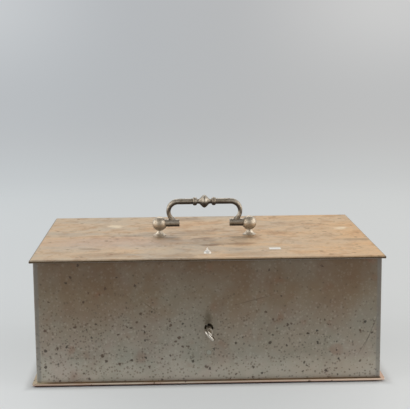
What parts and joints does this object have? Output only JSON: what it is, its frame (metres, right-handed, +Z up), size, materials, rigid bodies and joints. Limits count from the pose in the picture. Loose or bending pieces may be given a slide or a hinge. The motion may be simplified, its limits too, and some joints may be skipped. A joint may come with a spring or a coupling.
{
  "type": "deed box",
  "caption": "Flat-lidded plated metal box for papers with a swinging bail handle on ball posts, inside hinges, and a key lock whose bolt catches staples under the lid.",
  "frame": {"origin": "middle of the resting face under the felt, below the middle of the lid", "axes": "+X to the right along the front, +Y from the front with the keyhole to the hinges at the back, +Z up"},
  "size_m": [0.361, 0.2817, 0.1779],
  "materials": {
    "plated_wall": "dull worn nickel plating on steel, grey-olive, dense brown corrosion specks",
    "plated_lid": "rubbed plating with a warm tan patina and round stains",
    "base_edge": "plating worn to a pinkish copper tone along the edge",
    "felt": "worn maroon felt",
    "handle_nickel": "old bright nickel with brown tarnish in the hollows",
    "inner_steel": "plain grey steel, lightly tarnished",
    "lock_brass": "aged unpolished brass",
    "dark_steel": "blackened steel",
    "key_nickel": "bright polished nickel, rubbed by use"
  },
  "bodies": {
    "case": {"front_wall": "plated_wall", "back_wall": "plated_wall", "left_wall": "plated_wall", "right_wall": "plated_wall", "corner_angles": "inner_steel", "base_angles": "inner_steel", "base_plate": "base_edge", "base_screws": "dark_steel", "base_felt": "felt", "left_hinge_case_leaf": "handle_nickel", "right_hinge_case_leaf": "handle_nickel", "left_hinge_pin": "handle_nickel", "right_hinge_pin": "handle_nickel", "hinge_rivets": "handle_nickel", "lock_case": "inner_steel", "lock_cover": "inner_steel", "cover_screws": "lock_brass", "lock_studs": "plated_wall", "lock_nuts": "dark_steel", "bolt_guides": "lock_brass", "guide_collars": "lock_brass", "locking_ring": "lock_brass"},
    "lid": {"lid_plate": "plated_lid", "lid_rim_front": "inner_steel", "lid_rim_left": "inner_steel", "lid_rim_right": "inner_steel", "left_hinge_lid_leaf": "handle_nickel", "right_hinge_lid_leaf": "handle_nickel", "lid_screws": "dark_steel", "left_handle_post": "handle_nickel", "right_handle_post": "handle_nickel", "post_washers": "inner_steel", "post_nuts": "dark_steel", "keeper": "inner_steel", "lid_stud": "handle_nickel"},
    "bail": {"bail": "handle_nickel"},
    "lock_barrel": {"barrel": "lock_brass", "drill_pin": "inner_steel", "slider_spring": "inner_steel"},
    "sliders": {"sliders": "inner_steel"},
    "bolt": {"bolt": "inner_steel"},
    "key": {"key": "key_nickel"}
  },
  "joints": [
    {"name": "lid_hinge", "type": "hinge", "parent": "case", "child": "lid", "pos_m": [0, 0.1215, 0.1259], "axis": [-1, 0, 0], "range_deg": [0, 128]},
    {"name": "bail_swing", "type": "hinge", "parent": "lid", "child": "bail", "pos_m": [0, 0, 0.1466], "axis": [1, 0, 0], "range_deg": [-105, 105]},
    {"name": "key_turn", "type": "hinge", "parent": "case", "child": "lock_barrel", "pos_m": [0, 0, 0.059], "axis": [0, 1, 0], "range_deg": [0, 90]},
    {"name": "bolt_slide", "type": "slide", "parent": "case", "child": "bolt", "axis": [1, 0, 0], "range_m": [0, 0.00942]},
    {"name": "key_withdraw", "type": "slide", "parent": "lock_barrel", "child": "key", "axis": [0, -1, 0], "range_m": [0, 0.0375]},
    {"name": "slider_return", "type": "slide", "parent": "lock_barrel", "child": "sliders", "axis": [0, -1, 0], "range_m": [0, 0.00301], "deforming": ["slider_spring"]}
  ],
  "couplings": [
    {"joint": "key_turn", "follows": "bolt_slide", "rad_per_m": 166.67},
    {"joint": "slider_return", "follows": "key_withdraw", "ratio": 0.08}
  ]
}
